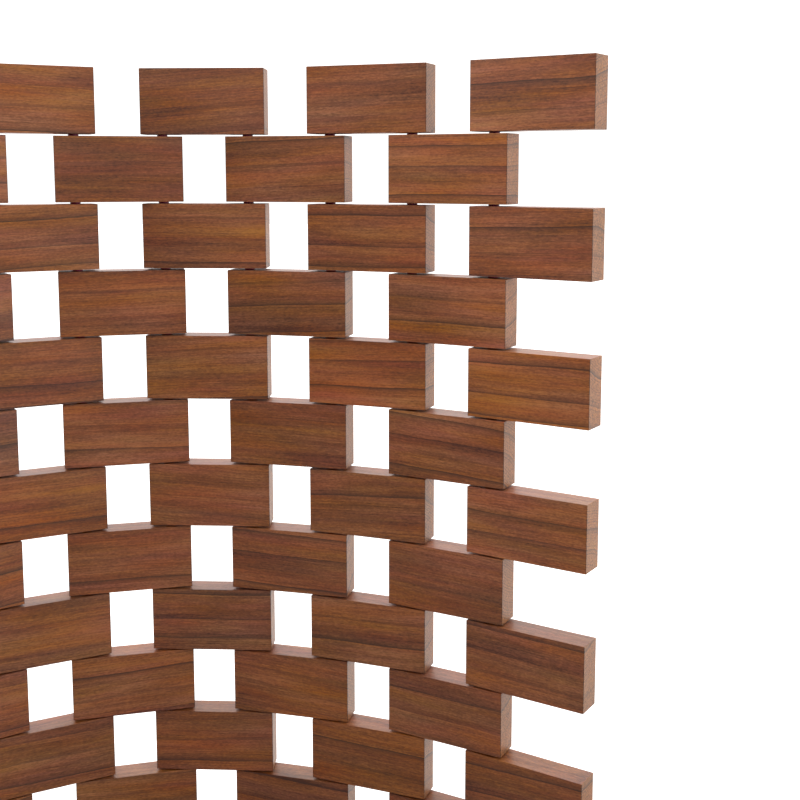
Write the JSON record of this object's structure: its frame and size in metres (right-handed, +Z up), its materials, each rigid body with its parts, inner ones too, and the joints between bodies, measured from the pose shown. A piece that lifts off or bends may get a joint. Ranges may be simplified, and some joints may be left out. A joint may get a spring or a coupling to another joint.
{
  "type": "free-standing openwork wood block screen",
  "caption": "Free-standing curved openwork screen of solid walnut blocks in open running bond, threaded on upright steel rods with round spacers.",
  "frame": {"origin": "middle of the footprint, on the floor under the bottom row of blocks", "axes": "+Z up the rods, +X to the right along the screen as seen from its hollow side, -Y out of the hollow side towards the viewer"},
  "size_m": [1.2526, 0.3344, 1.602],
  "materials": {
    "walnut": "planed, sanded and oiled solid walnut with a satin sheen",
    "coated_steel": "dark aubergine coated steel, satin"
  },
  "bodies": {
    "root": {"rod_1": "coated_steel", "rod_2": "coated_steel", "rod_3": "coated_steel", "rod_4": "coated_steel", "rod_5": "coated_steel", "rod_6": "coated_steel", "rod_7": "coated_steel", "row_01_block_1": "walnut", "row_01_block_2": "walnut", "row_01_block_3": "walnut", "row_01_block_4": "walnut", "row_02_block_1": "walnut", "row_02_block_2": "walnut", "row_02_block_3": "walnut", "row_02_block_4": "walnut", "row_03_block_1": "walnut", "row_03_block_2": "walnut", "row_03_block_3": "walnut", "row_03_block_4": "walnut", "row_04_block_1": "walnut", "row_04_block_2": "walnut", "row_04_block_3": "walnut", "row_04_block_4": "walnut", "row_05_block_1": "walnut", "row_05_block_2": "walnut", "row_05_block_3": "walnut", "row_05_block_4": "walnut", "row_06_block_1": "walnut", "row_06_block_2": "walnut", "row_06_block_3": "walnut", "row_06_block_4": "walnut", "row_07_block_1": "walnut", "row_07_block_2": "walnut", "row_07_block_3": "walnut", "row_07_block_4": "walnut", "row_08_block_1": "walnut", "row_08_block_2": "walnut", "row_08_block_3": "walnut", "row_08_block_4": "walnut", "row_09_block_1": "walnut", "row_09_block_2": "walnut", "row_09_block_3": "walnut", "row_09_block_4": "walnut", "row_10_block_1": "walnut", "row_10_block_2": "walnut", "row_10_block_3": "walnut", "row_10_block_4": "walnut", "row_11_block_1": "walnut", "row_11_block_2": "walnut", "row_11_block_3": "walnut", "row_11_block_4": "walnut", "row_12_block_1": "walnut", "row_12_block_2": "walnut", "row_12_block_3": "walnut", "row_12_block_4": "walnut", "row_13_block_1": "walnut", "row_13_block_2": "walnut", "row_13_block_3": "walnut", "row_13_block_4": "walnut"}
  },
  "joints": []
}
